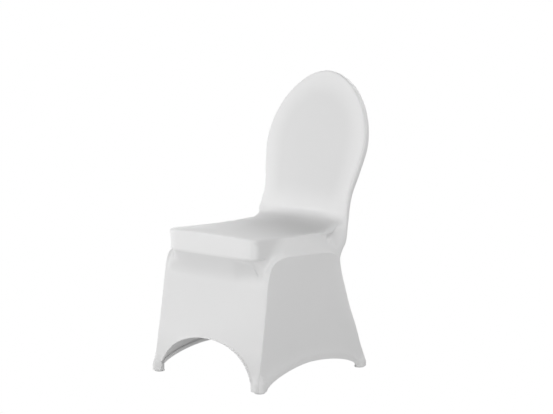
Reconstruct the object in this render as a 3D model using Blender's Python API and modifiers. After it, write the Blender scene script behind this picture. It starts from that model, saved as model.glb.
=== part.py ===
"""Stretch cover for a round-backed stacking chair, modelled as it sits on the chair.

The cover is cut from four panels of stretch cloth, with a cup sewn in for each
foot of the chair.  Front and rear panel are lofts: a short table gives their
sections from the top of the back down to the hem, on the side at +X, and the
cloth between the sections is one smooth surface.  The skirt's sides fill the
frame of seams between them.  The chair faces -Y and stands on z = 0.
"""

import math
from collections import namedtuple

import bpy
import bmesh
import numpy as np

# Cloth
CLOTH = 0.0012          # thickness of the solid cloth
SEAM_GAP = 0.0004       # left open between two panels along their seam
PITCH = 0.030           # largest distance between two rows of a panel
SPAN_STEPS = 6          # faces from the middle to a turned edge
TURN_STEPS = 3          # faces round a turned edge
FRONT_SIDE_STEPS = 4    # faces from a turned edge to the seam
REAR_SIDE_STEPS = 2
JOINED = 0.00005        # points closer than this are one point
COLOUR = (0.87, 0.87, 0.87, 1.0)
ROUGHNESS = 0.85

# Oval back: its front face leans back as it rises
BACK_TOP = 0.929
BACK_WIDEST = 0.700     # height at which the oval is widest
BACK_HALF_WIDTH = 0.2055
BACK_FACE_Y = 0.0654    # where the leaning face would meet the floor
BACK_LEAN = 0.272       # how far it leans back for each metre of height
BACK_CROWN = 0.006      # padding in the middle of the front face
BACK_THICKNESS = 0.022
RIM_DEPTH = 0.008       # the rim seam lies this far behind the front face
RIM_TURN = 0.009
OVAL_POWER = 1.85       # 2 would be an ellipse
HEAD_TURNS = 6          # spans fanned round the top of the oval

# Hem arches
ARCH_POWER = 2.12       # front and rear arch: a full, nearly elliptical curve
SIDE_ARCH_POWER = 1.9
SIDE_ARCH_RISE = 0.057
SIDE_ARCH_HALF = 0.218
SIDE_ARCH_MIDDLE = -0.016
SIDE_DRAWN_IN = 0.004   # the skirt's side is drawn in this far between the legs
SIDE_HEM_EVEN = 0.3     # share of the side hem's points spaced evenly, the rest crowd to the feet
HEM_AT_FOOT = 0.006     # height of the hem round a foot

# Foot cups
CUP_RADIUS = 0.0145
CUP_WALL = 0.0012
CUP_ROUND = 0.007       # between its flat bottom and its wall
CUP_ROUND_STEPS = 3
CUP_SEGMENTS = 20
CUP_CLEARANCE = 0.0184  # the skirt stays this far from a cup's axis,
CUP_OVERHANG = 0.006    # up to this far above its rim
Cup = namedtuple("Cup", "x y height")
CUPS = {
    "front": Cup(0.2135, -0.2335, 0.028),
    "rear": Cup(0.2190, 0.2330, 0.020),
}

# The tables have y = 0 midway between the feet.  The cover is then moved so
# that the middle of its whole length comes to y = 0.
LENGTHWAYS = -0.0427

# Seams on the side at +X
Seam = namedtuple("Seam", "x y z")

# Rim of the back, below its widest height, down to the waist of the rear leg
RIM_SEAM = [
    Seam(0.1935, 0.2417, 0.6180),
    Seam(0.1795, 0.2225, 0.5480),
    Seam(0.1820, 0.2085, 0.5040),
    Seam(0.1840, 0.1990, 0.4780),
    Seam(0.1858, 0.1955, 0.4500),
    Seam(0.1875, 0.1925, 0.4280),
    Seam(0.1900, 0.1840, 0.4010),
    Seam(0.1918, 0.1650, 0.3790),
    Seam(0.1940, 0.1515, 0.3550),
]
# Seat rail from the waist to the front
RAIL_SEAM = [
    Seam(0.2040, 0.1170, 0.3745),
    Seam(0.2140, 0.0668, 0.3840),
    Seam(0.2185, 0.0180, 0.3878),
    Seam(0.2200, -0.0300, 0.3893),
    Seam(0.2200, -0.0750, 0.3912),
    Seam(0.2200, -0.0980, 0.3922),
    Seam(0.2200, -0.1120, 0.3930),
    Seam(0.2198, -0.1250, 0.3925),
    Seam(0.2195, -0.1430, 0.3905),
    Seam(0.2190, -0.1620, 0.3848),
    Seam(0.2185, -0.1735, 0.3780),
    Seam(0.2180, -0.1840, 0.3685),
]
# Front leg from the bend of the rail to its foot
FRONT_LEG_SEAM = [
    Seam(0.2178, -0.1940, 0.3520),
    Seam(0.2170, -0.2040, 0.3180),
    Seam(0.2182, -0.2113, 0.2620),
    Seam(0.2187, -0.2246, 0.1920),
    Seam(0.2187, -0.2378, 0.1150),
    Seam(0.2185, -0.2489, 0.0450),
    Seam(0.2200, -0.2515, 0.0060),
]
# Rear leg from the waist to its foot
REAR_LEG_SEAM = [
    Seam(0.1985, 0.1582, 0.3070),
    Seam(0.2045, 0.1705, 0.2520),
    Seam(0.2105, 0.1838, 0.1980),
    Seam(0.2178, 0.2040, 0.1310),
    Seam(0.2235, 0.2200, 0.0810),
    Seam(0.2314, 0.2420, 0.0320),
    Seam(0.2319, 0.2459, 0.0060),
]

# A section runs from mid, on the middle plane x = 0, to a corner, and from
# there to the seam.
#   corner  the sharp corner that it would turn without rounding
#   turn    how far from the corner the rounding starts
#   arch    0 for a plain crowned span from middle to corner, 1 for a hem arch
#   hollow  how deep the cloth dips past the corner
#   swell   how far the tube next to the seam pushes the cloth out
Section = namedtuple("Section", "mid_y mid_z corner_x corner_y corner_z turn arch hollow swell")

CENTRE_SECTIONS = [
    # back, below its widest height
    Section(0.2280, 0.6200, 0.1935, 0.2340, 0.6200, 0.009, 0.0, 0.000, 0.000),
    Section(0.2090, 0.5500, 0.1795, 0.2150, 0.5500, 0.009, 0.0, 0.000, 0.000),
    Section(0.1965, 0.5020, 0.1820, 0.2020, 0.5040, 0.009, 0.0, 0.000, 0.000),
    # hollow between back and seat
    Section(0.1930, 0.4870, 0.1815, 0.1950, 0.4800, 0.007, 0.0, 0.000, 0.000),
    Section(0.1800, 0.4765, 0.1780, 0.1850, 0.4640, 0.012, 0.0, 0.000, 0.000),
    Section(0.1560, 0.4690, 0.1770, 0.1600, 0.4548, 0.006, 0.0, 0.000, 0.000),
    # seat
    Section(0.1120, 0.4650, 0.1845, 0.1180, 0.4450, 0.005, 0.0, 0.003, 0.000),
    Section(0.0700, 0.4640, 0.1932, 0.0790, 0.4410, 0.005, 0.0, 0.003, 0.000),
    Section(0.0300, 0.4635, 0.1940, 0.0360, 0.4400, 0.005, 0.0, 0.001, 0.000),
    Section(-0.0150, 0.4635, 0.1940, -0.0080, 0.4410, 0.005, 0.0, 0.000, 0.001),
    Section(-0.0650, 0.4635, 0.1940, -0.0580, 0.4432, 0.005, 0.0, 0.000, 0.002),
    Section(-0.1150, 0.4637, 0.1940, -0.1080, 0.4457, 0.006, 0.0, 0.000, 0.003),
    Section(-0.1700, 0.4632, 0.1940, -0.1600, 0.4487, 0.007, 0.0, 0.000, 0.003),
    Section(-0.2120, 0.4607, 0.1940, -0.2050, 0.4510, 0.014, 0.0, 0.001, 0.003),
    # front edge of the seat, and the band below it
    Section(-0.2260, 0.4567, 0.1940, -0.2240, 0.4515, 0.018, 0.0, 0.002, 0.003),
    Section(-0.2302, 0.4537, 0.1940, -0.2295, 0.4490, 0.020, 0.0, 0.003, 0.003),
    Section(-0.2312, 0.4470, 0.1940, -0.2312, 0.4435, 0.020, 0.0, 0.004, 0.003),
    Section(-0.2312, 0.4200, 0.1940, -0.2312, 0.4190, 0.020, 0.0, 0.005, 0.004),
    Section(-0.2312, 0.3950, 0.1940, -0.2312, 0.3945, 0.020, 0.0, 0.006, 0.004),
    Section(-0.2295, 0.3870, 0.1930, -0.2290, 0.3860, 0.020, 0.0, 0.006, 0.004),
    Section(-0.2260, 0.3760, 0.1920, -0.2230, 0.3740, 0.016, 0.0, 0.005, 0.004),
    # front of the skirt, down to the hem
    Section(-0.2212, 0.3600, 0.1950, -0.2150, 0.3560, 0.014, 0.0, 0.002, 0.004),
    Section(-0.2130, 0.3300, 0.1935, -0.2080, 0.3250, 0.012, 0.0, 0.000, 0.003),
    Section(-0.2088, 0.2900, 0.1940, -0.2090, 0.2650, 0.012, 0.0, 0.000, 0.002),
    Section(-0.2122, 0.2420, 0.1950, -0.2200, 0.1950, 0.012, 0.3, 0.000, 0.002),
    Section(-0.2190, 0.2020, 0.1945, -0.2320, 0.1200, 0.012, 0.6, 0.000, 0.002),
    Section(-0.2290, 0.1640, 0.1935, -0.2440, 0.0480, 0.010, 0.9, 0.000, 0.002),
    Section(-0.2355, 0.1355, 0.1930, -0.2495, 0.0060, 0.006, 1.0, 0.000, 0.002),
]

REAR_SECTIONS = [
    # back, below its widest height
    Section(0.2560, 0.6130, 0.1935, 0.2560, 0.6140, 0.009, 0.0, 0.000, 0.000),
    Section(0.2350, 0.5440, 0.1795, 0.2355, 0.5440, 0.009, 0.0, 0.000, 0.000),
    Section(0.2190, 0.4970, 0.1815, 0.2195, 0.4970, 0.009, 0.0, 0.000, 0.000),
    Section(0.2125, 0.4710, 0.1838, 0.2125, 0.4710, 0.008, 0.0, 0.000, 0.000),
    Section(0.2070, 0.4450, 0.1855, 0.2055, 0.4450, 0.007, 0.0, 0.000, 0.000),
    Section(0.2030, 0.4250, 0.1868, 0.2000, 0.4250, 0.006, 0.0, 0.000, 0.000),
    Section(0.2000, 0.4000, 0.1880, 0.1915, 0.4000, 0.005, 0.0, 0.000, 0.000),
    Section(0.1960, 0.3780, 0.1885, 0.1750, 0.3780, 0.005, 0.0, 0.000, 0.000),
    Section(0.1935, 0.3550, 0.1890, 0.1630, 0.3550, 0.005, 0.0, 0.000, 0.000),
    # rear of the skirt, down to the hem
    Section(0.1925, 0.3100, 0.1920, 0.1675, 0.3050, 0.006, 0.0, 0.000, 0.001),
    Section(0.1955, 0.2600, 0.1975, 0.1805, 0.2500, 0.006, 0.0, 0.000, 0.001),
    Section(0.2025, 0.2050, 0.2025, 0.1955, 0.1950, 0.007, 0.2, 0.000, 0.001),
    Section(0.2145, 0.1500, 0.2070, 0.2175, 0.1250, 0.008, 0.6, 0.000, 0.002),
    Section(0.2225, 0.1200, 0.2050, 0.2325, 0.0700, 0.009, 0.8, 0.000, 0.003),
    Section(0.2285, 0.1000, 0.2010, 0.2435, 0.0280, 0.008, 1.0, 0.000, 0.004),
    Section(0.2305, 0.0900, 0.1985, 0.2475, 0.0060, 0.006, 1.0, 0.000, 0.004),
]


def unit(vectors):
    """The given row vectors, each scaled to length 1."""
    return vectors / np.maximum(np.linalg.norm(vectors, axis=-1, keepdims=True), 1e-9)


def smooth_rows(rows, steps, places):
    """Cubic curve through rows of numbers, each span cut into its number of steps.

    The first columns, as many as places says, are positions that pace the curve.
    """
    rows = np.asarray(rows, float)
    lengths = np.linalg.norm(np.diff(rows[:, :places], axis=0), axis=1)
    spans = np.sqrt(lengths)[:, None]
    slopes = np.diff(rows, axis=0) / spans
    tangents = np.empty_like(rows)
    tangents[1:-1] = (slopes[:-1] * spans[1:] + slopes[1:] * spans[:-1]) / (spans[:-1] + spans[1:])
    tangents[0] = 1.5 * slopes[0] - 0.5 * tangents[1]
    tangents[-1] = 1.5 * slopes[-1] - 0.5 * tangents[-2]
    result = [rows[0]]
    for index, count in enumerate(steps):
        for step in range(1, count + 1):
            t = step / count
            result.append(
                (2 * t**3 - 3 * t**2 + 1) * rows[index]
                + (t**3 - 2 * t**2 + t) * spans[index] * tangents[index]
                + (3 * t**2 - 2 * t**3) * rows[index + 1]
                + (t**3 - t**2) * spans[index] * tangents[index + 1]
            )
    return np.array(result)


def face_point(x, z, behind):
    """A point of the leaning back, so far behind its front face."""
    shift = behind / math.hypot(1.0, BACK_LEAN)
    return x, BACK_FACE_Y + BACK_LEAN * z + shift, z - BACK_LEAN * shift


def oval_point(turn):
    """Half width and height of the oval, from its top (0) to its widest height (1)."""
    angle = math.pi / 2 * (1 - turn)
    power = 2 / OVAL_POWER
    across = BACK_HALF_WIDTH * max(math.cos(angle), 0.0) ** power
    up = (BACK_TOP - BACK_WIDEST) * math.sin(angle) ** power
    return across, BACK_WIDEST + up


def head_seam():
    """The rim seam round the top of the oval."""
    turns = [step / HEAD_TURNS for step in range(HEAD_TURNS + 1)]
    return [Seam(*face_point(*oval_point(turn), RIM_DEPTH)) for turn in turns]


def head_sections(middle_behind, corner_behind):
    """Sections fanned from the middle of the oval to its rim, from the top down."""
    _, mid_y, mid_z = face_point(0.0, BACK_WIDEST, middle_behind)
    sections = []
    for step in range(HEAD_TURNS + 1):
        corner = face_point(*oval_point(step / HEAD_TURNS), corner_behind)
        sections.append(Section(mid_y, mid_z, *corner, RIM_TURN, 0.0, 0.0, 0.0))
    return sections


def row_steps(sections, seam):
    """How many rows each span between two sections needs."""
    mids = np.array([[section.mid_y, section.mid_z] for section in sections])
    corners = np.array([[section.corner_x, section.corner_y, section.corner_z] for section in sections])
    lengths = [np.linalg.norm(np.diff(line, axis=0), axis=1) for line in (mids, corners, np.array(seam))]
    return np.maximum(1, np.ceil(np.max(lengths, axis=0) / PITCH)).astype(int)


def cut_back(points, distance):
    """The polyline, drawn back from its end by the distance."""
    lengths = np.linalg.norm(np.diff(points, axis=0), axis=1)
    along = np.concatenate([[0.0], np.cumsum(lengths)])
    wanted = along * (1.0 - distance / along[-1])
    return np.stack([np.interp(wanted, along, points[:, axis]) for axis in range(3)], axis=1)


def section_points(section, seam, side_steps):
    """One row of a panel: its span, its rounded turn and its side up to the seam."""
    middle = np.array([0.0, section.mid_y, section.mid_z])
    corner = np.array([section.corner_x, section.corner_y, section.corner_z])
    angles = np.linspace(0.0, math.pi / 2, SPAN_STEPS + 1)
    across = np.sin(angles) ** (2 / ARCH_POWER)
    arched = 1.0 - np.cos(angles) ** (2 / ARCH_POWER)
    drop = section.arch * arched + (1.0 - section.arch) * across**2
    span = middle + np.outer(drop, corner - middle)
    span[:, 0] = across * section.corner_x

    side_length = np.linalg.norm(seam - corner)
    turn = min(section.turn, side_length * 0.8)
    span = cut_back(span, turn)
    turn_end = corner + (seam - corner) * turn / side_length
    points = list(span)
    for step in range(1, TURN_STEPS + 1):
        t = step / TURN_STEPS
        points.append((1 - t) ** 2 * span[-1] + 2 * t * (1 - t) * corner + t**2 * turn_end)
    for step in range(1, side_steps + 1):
        points.append(turn_end + (seam - turn_end) * step / side_steps)
    return np.array(points)


def clear_cups(grid):
    """Keep the cloth outside the cups, where it passes a foot."""
    for cup in CUPS.values():
        centre = np.array([cup.x, cup.y])
        away = grid[..., :2] - centre
        distance = np.linalg.norm(away, axis=-1)
        near = (grid[..., 2] < cup.height + CUP_OVERHANG) & (distance < CUP_CLEARANCE)
        grid[near, :2] = centre + away[near] * (CUP_CLEARANCE / distance[near])[:, None]


def panel_grid(sections, seam_rows, steps, side_steps, outside):
    """All rows of a half panel, from its top to its hem, as a grid of points."""
    dense = [Section(*row) for row in smooth_rows(sections, steps, 5)]
    pole = sections[0]
    for row in range(sum(steps[:HEAD_TURNS])):
        dense[row] = dense[row]._replace(mid_y=pole.mid_y, mid_z=pole.mid_z)
    grid = np.array([section_points(*row, side_steps) for row in zip(dense, seam_rows)])
    outward = outside * unit(np.cross(np.gradient(grid, axis=0), np.gradient(grid, axis=1)))
    start = SPAN_STEPS + TURN_STEPS - 1
    last = grid.shape[1] - 1
    for row, section in enumerate(dense):
        for column in range(start, last):
            t = (column - start) / (last - start)
            dip = section.hollow * math.sin(math.pi * min(1.0, t / 0.8)) ** 2
            rise = section.swell * math.sin(math.pi * t) * t
            grid[row, column] += outward[row, column] * (rise - dip)
    clear_cups(grid[:, :-1])
    return grid


def side_grid(rail, front_leg, rear_leg):
    """Side of the skirt at +X, inside its frame of rail, legs and hem arch."""
    top = rail[::-1]
    rows, columns = len(front_leg), len(top)
    even = np.linspace(0.0, 1.0, columns)
    crowded = (1.0 - np.cos(math.pi * even)) / 2
    paced = SIDE_HEM_EVEN * even + (1.0 - SIDE_HEM_EVEN) * crowded
    hem_y = front_leg[-1][1] + (rear_leg[-1][1] - front_leg[-1][1]) * paced
    offset = np.minimum(np.abs(hem_y - SIDE_ARCH_MIDDLE) / SIDE_ARCH_HALF, 1.0)
    rise = SIDE_ARCH_RISE * (1.0 - offset**SIDE_ARCH_POWER) ** (1 / SIDE_ARCH_POWER)
    foot_y = [cup.y for cup in CUPS.values()]
    foot_x = [cup.x + CUP_CLEARANCE for cup in CUPS.values()]
    hem = np.stack([np.interp(hem_y, foot_y, foot_x), hem_y, HEM_AT_FOOT + rise], axis=1)
    hem[0] = front_leg[-1]
    hem[-1] = rear_leg[-1]

    u = np.linspace(0.0, 1.0, columns)[None, :, None]
    v = np.linspace(0.0, 1.0, rows)[:, None, None]
    between_ends = (1 - u) * front_leg[:, None] + u * rear_leg[:, None]
    between_edges = (1 - v) * top[None] + v * hem[None]
    upper = (1 - u) * top[0] + u * top[-1]
    lower = (1 - u) * hem[0] + u * hem[-1]
    grid = between_ends + between_edges - (1 - v) * upper - v * lower
    grid[:, :, 0] -= SIDE_DRAWN_IN * np.sin(math.pi * u[..., 0]) * np.sin(math.pi / 2 * v[..., 0])
    clear_cups(grid[:, 1:-1])
    return grid


def draw_in(edge, inner):
    """The edge of a panel, moved towards its next row by half of the seam gap."""
    return edge + unit(inner - edge) * SEAM_GAP / 2


def grid_mesh(name, grid, flip):
    """An open surface through a grid of points, with coinciding points joined."""
    rows, columns = grid.shape[:2]
    shape = bmesh.new()
    points = [[shape.verts.new(point) for point in row] for row in grid]
    for i in range(rows - 1):
        for j in range(columns - 1):
            corners = [points[i][j], points[i + 1][j], points[i + 1][j + 1], points[i][j + 1]]
            shape.faces.new(corners[::-1] if flip else corners)
    bmesh.ops.remove_doubles(shape, verts=shape.verts, dist=JOINED)
    mesh = bpy.data.meshes.new(name)
    shape.to_mesh(mesh)
    shape.free()
    return mesh


def add_object(name, mesh, collection, origin):
    """An object of white cloth in the cover's collection."""
    thing = bpy.data.objects.new(name, mesh)
    collection.objects.link(thing)
    thing.parent = origin
    material = bpy.data.materials.new(name + "_cloth")
    material.use_nodes = True
    shader = material.node_tree.nodes["Principled BSDF"]
    shader.inputs["Base Color"].default_value = COLOUR
    shader.inputs["Roughness"].default_value = ROUGHNESS
    shader.inputs["Metallic"].default_value = 0.0
    mesh.materials.append(material)
    mesh.shade_smooth()
    return thing


def thicken(panel):
    """Give a panel the thickness of the cloth, on its outer side."""
    solid = panel.modifiers.new("Cloth", "SOLIDIFY")
    solid.thickness = CLOTH
    solid.offset = 1.0


def mirror_half(panel):
    """Complete a half panel across the middle plane."""
    mirror = panel.modifiers.new("Mirror", "MIRROR")
    mirror.merge_threshold = JOINED


def cup_side(radius, bottom, rounding, top):
    """One side of a cup's wall, from its rim down and round to its flat bottom."""
    side = [(radius, top)]
    for step in range(CUP_ROUND_STEPS + 1):
        angle = math.pi / 2 * step / CUP_ROUND_STEPS
        across = radius - rounding * (1 - math.cos(angle))
        side.append((across, bottom + rounding * (1 - math.sin(angle))))
    return side


def add_cup(name, hand, cup, collection, origin):
    """Turned cup with a flat bottom on the floor, open at its top."""
    outer = cup_side(CUP_RADIUS, 0.0, CUP_ROUND, cup.height)
    inner = cup_side(CUP_RADIUS - CUP_WALL, CUP_WALL, CUP_ROUND - CUP_WALL, cup.height)
    profile = outer + [(0.0, 0.0), (0.0, CUP_WALL)] + inner[::-1]
    mesh = bpy.data.meshes.new(name)
    links = [(index, (index + 1) % len(profile)) for index in range(len(profile))]
    axis_link = (len(outer), len(outer) + 1)
    links.remove(axis_link)
    mesh.from_pydata([(radius, 0.0, height) for radius, height in profile], links, [])
    pocket = add_object(name, mesh, collection, origin)
    pocket.location = (hand * cup.x, cup.y, 0.0)
    screw = pocket.modifiers.new("Turn", "SCREW")
    screw.angle = 2 * math.pi
    screw.steps = CUP_SEGMENTS
    screw.render_steps = CUP_SEGMENTS
    screw.use_merge_vertices = True
    screw.merge_threshold = JOINED


def build():
    """Make the whole cover."""
    for thing in list(bpy.data.objects):
        bpy.data.objects.remove(thing, do_unlink=True)
    collection = bpy.data.collections.new("stretch_chair_cover")
    bpy.context.scene.collection.children.link(collection)
    origin = bpy.data.objects.new("cover_origin", None)
    collection.objects.link(origin)
    origin.location = (0.0, LENGTHWAYS, 0.0)

    centre_sections = head_sections(-BACK_CROWN, 0.0) + CENTRE_SECTIONS
    rear_sections = head_sections(BACK_THICKNESS, BACK_THICKNESS) + REAR_SECTIONS
    rim = head_seam() + RIM_SEAM
    rail = [rim[-1]] + RAIL_SEAM
    front_leg = [rail[-1]] + FRONT_LEG_SEAM
    rear_leg = [rim[-1]] + REAR_LEG_SEAM

    centre_steps = row_steps(centre_sections, rim + RAIL_SEAM + FRONT_LEG_SEAM)
    rear_steps = row_steps(rear_sections, rim + REAR_LEG_SEAM)
    rim_steps = np.maximum(centre_steps[: len(rim) - 1], rear_steps[: len(rim) - 1])
    rail_steps = centre_steps[len(rim) - 1 : -len(FRONT_LEG_SEAM)]
    leg_steps = np.maximum(centre_steps[-len(FRONT_LEG_SEAM) :], rear_steps[-len(REAR_LEG_SEAM) :])

    rim_line = smooth_rows(rim, rim_steps, 3)
    rail_and_leg = smooth_rows(rail + FRONT_LEG_SEAM, np.concatenate([rail_steps, leg_steps]), 3)
    rear_leg_line = smooth_rows(rear_leg, leg_steps, 3)
    rail_line = rail_and_leg[: sum(rail_steps) + 1]
    front_leg_line = rail_and_leg[sum(rail_steps) :]

    steps = np.concatenate([rim_steps, rail_steps, leg_steps])
    seam = np.concatenate([rim_line, rail_and_leg[1:]])
    centre = panel_grid(centre_sections, seam, steps, FRONT_SIDE_STEPS, 1.0)
    steps = np.concatenate([rim_steps, leg_steps])
    seam = np.concatenate([rim_line, rear_leg_line[1:]])
    rear = panel_grid(rear_sections, seam, steps, REAR_SIDE_STEPS, -1.0)
    side = side_grid(rail_line, front_leg_line, rear_leg_line)

    for grid in (centre, rear):
        grid[:, -1] = draw_in(grid[:, -1], grid[:, -2])
    side[:, 0] = draw_in(side[:, 0], side[:, 1])
    side[:, -1] = draw_in(side[:, -1], side[:, -2])
    side[0] = draw_in(side[0], side[1])

    for name, grid, flip in (("centre_panel", centre, False), ("rear_panel", rear, True)):
        panel = add_object(name, grid_mesh(name, grid, flip), collection, origin)
        mirror_half(panel)
        thicken(panel)
    for name, hand in (("side_panel_right", 1), ("side_panel_left", -1)):
        grid = side * np.array([hand, 1.0, 1.0])
        panel = add_object(name, grid_mesh(name, grid, hand < 0), collection, origin)
        thicken(panel)
    for end, cup in CUPS.items():
        for side_name, hand in (("right", 1), ("left", -1)):
            add_cup(f"foot_pocket_{end}_{side_name}", hand, cup, collection, origin)


build()
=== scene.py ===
"""White stretch cover on a round-backed stacking chair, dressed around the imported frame."""

import math
from collections import namedtuple

import bmesh
import bpy
import numpy as np
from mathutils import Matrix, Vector


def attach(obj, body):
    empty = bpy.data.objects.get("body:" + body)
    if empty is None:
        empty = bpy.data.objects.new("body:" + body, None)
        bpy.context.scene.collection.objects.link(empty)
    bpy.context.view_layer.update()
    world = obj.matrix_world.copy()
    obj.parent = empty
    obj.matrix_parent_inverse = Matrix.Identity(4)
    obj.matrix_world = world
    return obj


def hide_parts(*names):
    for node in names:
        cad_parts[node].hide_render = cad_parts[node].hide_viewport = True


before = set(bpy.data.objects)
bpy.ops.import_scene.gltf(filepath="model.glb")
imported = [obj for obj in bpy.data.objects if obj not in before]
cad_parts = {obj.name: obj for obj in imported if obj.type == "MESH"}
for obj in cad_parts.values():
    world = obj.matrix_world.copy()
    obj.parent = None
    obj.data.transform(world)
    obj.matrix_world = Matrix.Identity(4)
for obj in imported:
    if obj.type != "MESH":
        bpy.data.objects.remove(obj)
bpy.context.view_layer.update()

# Cloth
CLOTH = 0.0009  # visible thickness of the cloth
PITCH = 0.0052  # largest distance between two rows of a panel
FINE_PITCH = 0.0026  # the same round the front edge of the seat
SPAN_STEPS = 40  # faces from the middle to a turned edge
TURN_STEPS = 8  # faces round a turned edge
FRONT_SIDE_STEPS = 24  # faces from a turned edge to the seam
REAR_SIDE_STEPS = 8
LONGEST_TURN = 0.8  # share of a panel's side that its rounding takes at most
JOINED = 0.00002  # points closer than this are one point
SPARED = 0.00006  # each second row is left out if it is this close to its neighbours' chord,
TONE_STEP_WORTH = 0.001  # where a step of the drawn tone and painted shade, from none to full, counts as this distance

# Oval back: its front face leans back as it rises
BACK_TOP = 0.929
BACK_WIDEST = 0.700  # height at which the oval is widest
BACK_HALF_WIDTH = 0.2055
BACK_FACE_Y = 0.0654  # where the leaning face would meet the floor
BACK_LEAN = 0.272  # how far it leans back for each metre of height
BACK_CROWN = 0.006  # padding in the middle of the front face
BACK_THICKNESS = 0.022
RIM_DEPTH = 0.008  # the rim seam lies this far behind the front face
RIM_TURN = 0.006  # how far from the rim its rounding starts
OVAL_POWER = 1.85  # 2 would be an ellipse
HEAD_TURNS = 6  # spans fanned round the top of the oval

# Hem arches
ARCH_POWER = 2.12  # front and rear arch: a full, nearly elliptical curve
SIDE_ARCH_POWER = 1.9  # the side arch is rounder at its rear
SIDE_ARCH_FRONT_POWER = 1.6
SIDE_ARCH_RISE = 0.0553
SIDE_ARCH_FRONT, SIDE_ARCH_REAR = 0.200, 0.218  # half widths, from its highest point
SIDE_ARCH_MIDDLE = -0.016
SIDE_DRAWN_IN = 0.004  # the skirt's side is drawn in this far between the legs
SIDE_HEM_EVEN = 0.3  # share of the side hem's points spaced evenly, the rest crowd to the feet
HEM_AT_FOOT = 0.006  # height of the hem round a foot
HEM_WIDTH = 0.012  # how far the hem is folded back inside
HEM_FOLD = 0.0011  # radius of that fold
HEM_TURN_STEPS = 4  # faces round it

# Seams: the last millimetres of each panel turn in to the allowance
SEAM_TURN = [  # how far before the seam, and how deep inside, its points lie
    (0.00300, 0.0000),
    (0.00190, 0.0000),
    (0.00130, 0.0003),
    (0.00105, 0.0009),
    (0.00100, 0.0060),
]
SEAM_TURN_SHARE, SEAM_TURN_GAIN = 0.3, 200.0  # which is less where the last column is narrow
ALLOWANCE_COLUMNS = 4  # columns of a panel that are hidden in each seam

# Foot pockets, cups of doubled cloth
CUP_CLEARANCE = 0.0184  # the skirt stays this far from a cup's axis,
CUP_EASE = 8  # how sharply it bends to pass round
CUP_TAPER = 0.35  # and less by this share of its height above the cup's rim
Cup = namedtuple("Cup", "x y height")
CUPS = {
    "front": Cup(0.2135, -0.2335, 0.028),
    "rear": Cup(0.2150, 0.2290, 0.020),
}
CUP_RADIUS = 0.0146
CUP_COLUMNS = 56
CUP_GATHERS = 14  # small gathers where the rim is drawn in,
CUP_GATHER_DEPTH = 0.0003
CUP_FOLD = 0.0013  # radius of the fold at the rim
CUP_RIM = 0.0055  # how far the rim is folded back inside
CUP_RIM_SHARES = (0.33, 0.67, 1.0)
CUP_STEP = 0.003  # between the rows of its wall
# A cup's sole stands out a little under the hem: radius and height
SOLE = [
    (0.0000, 0.0000),
    (0.0050, 0.0000),
    (0.0100, 0.0000),
    (0.0130, 0.0002),
    (0.0150, 0.0008),
    (0.0160, 0.0017),
    (0.0163, 0.0026),
    (0.0159, 0.0033),
    (0.0150, 0.0038),
    (CUP_RADIUS, 0.0050),
]

# Cut and stitches
CUT_SHARE = 0.92  # the cloth is cut 8% smaller each way than the shape it is stretched to
STITCH_ROWS = (0.0090, 0.0115)  # a twin needle's rows, above the edge of the hem
STITCH_SPACING = 0.0032
STITCH_LENGTH = 0.0023
THREAD_WIDTH = 0.0005
THREAD_RISE = 0.2  # its middle lies this share of its width above the cloth

# How much darker the cloth is drawn, 0 to 1: a plain tone of its own, and painted shade where
# light falls less, with a painted highlight beside the skirt's seams
SKIRT_TONE = 0.5
# painted shade on the seat, where the back shades it
SEAT_SHADE = 1.0
SEAT_FRONT_SHADE = 0.3  # share of that painted shade near the seat's front edge
# darkest: painted shade just below the cushion's edge, and the skirt near the feet
FULLY_DARKER = 1.0
# It eases from one place to the next between each two of these measures.
BACK_FROM = (0.48, 0.58)  # heights of the back
RIM_LIGHTER = (0.60, 0.97)  # shares of the back's half width; the back is darker in its middle and lighter towards its rim
# the seat's painted shade eases in and out between these
SEAT_FROM = (0.48, 0.46)  # heights of the seat
SEAT_EDGE = (0.455, 0.461)  # heights of its edge
SEAT_SIDE = (0.85, 1.00)  # shares of its half width
SEAT_BEHIND = (-0.20, -0.02)  # y, behind its front edge
SKIRT_FROM = (0.391, 0.387)  # heights of the skirt's top
SKIRT_FRONT = (-0.15, -0.17)  # y
SKIRT_UNDER = (0.31, 0.35)  # heights just below the cushion, where the painted shade under its edge is full,
SKIRT_FEET = (0.14, 0.06)  # and near the feet, where the skirt is fully darker too
SKIRT_SEAM = (0.0, 0.04)  # distances from its seams, where a painted highlight leaves it lighter
SKIRT_SEAM_LOW = (0.34, 0.30)  # heights below which that no longer counts
CLUNG_FROM = (0.185, 0.194)  # x of the cushion's side, where the cloth is drawn against it and gets painted shade

# Seat cushion inside the cover, which the cloth below the seat's edge leans on
CUSHION_HALF_WIDTH = 0.1938
CUSHION_FRONT = -0.2312
CUSHION_REAR = 0.075
CUSHION_CORNER = 0.020  # radius of its front corner at +X, seen from above,
LEFT_CORNER = 0.057  # and of the one at -X, where the cushion has been pushed in
CORNER_LOW, CORNER_HIGH = 0.340, 0.385  # that difference grows between these heights
CUSHION_REAR_CORNER = 0.030
CUSHION_LOW, CUSHION_HIGH = 0.3895, 0.4450
CUSHION_EDGE = 0.0045  # radius of its upper and lower edge
SETTLE_ROUNDS = 600
HASTE = 0.997  # speeds up the settling, below 1
LEVEL_PULL = 9.0  # how much tighter the cloth is stretched level than upright
UNDER_HIGH, UNDER_LOW = 0.3885, 0.315  # it slopes in evenly between these heights,
UNDER_EASE = 1.55  # easing out at the lower one,
UNDER_SEAM = 0.030  # but less within this of the seam
MIDDLE_FROM, MIDDLE_FADE = 0.392, 0.020  # height below which its middle follows the table
TUBE = 0.0115  # radius of the frame's tube under the rail and leg seams
TUBE_SEAM = 20  # degrees that the seam lies round from the tube's front and top
TUBE_EVERY = 6  # how many points of the seam each span of the tube takes
LEAST_LENGTH = 1e-4  # no span of the cloth counts as shorter
NUDGE = 0.0002  # step by which a distance's slope is felt

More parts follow.
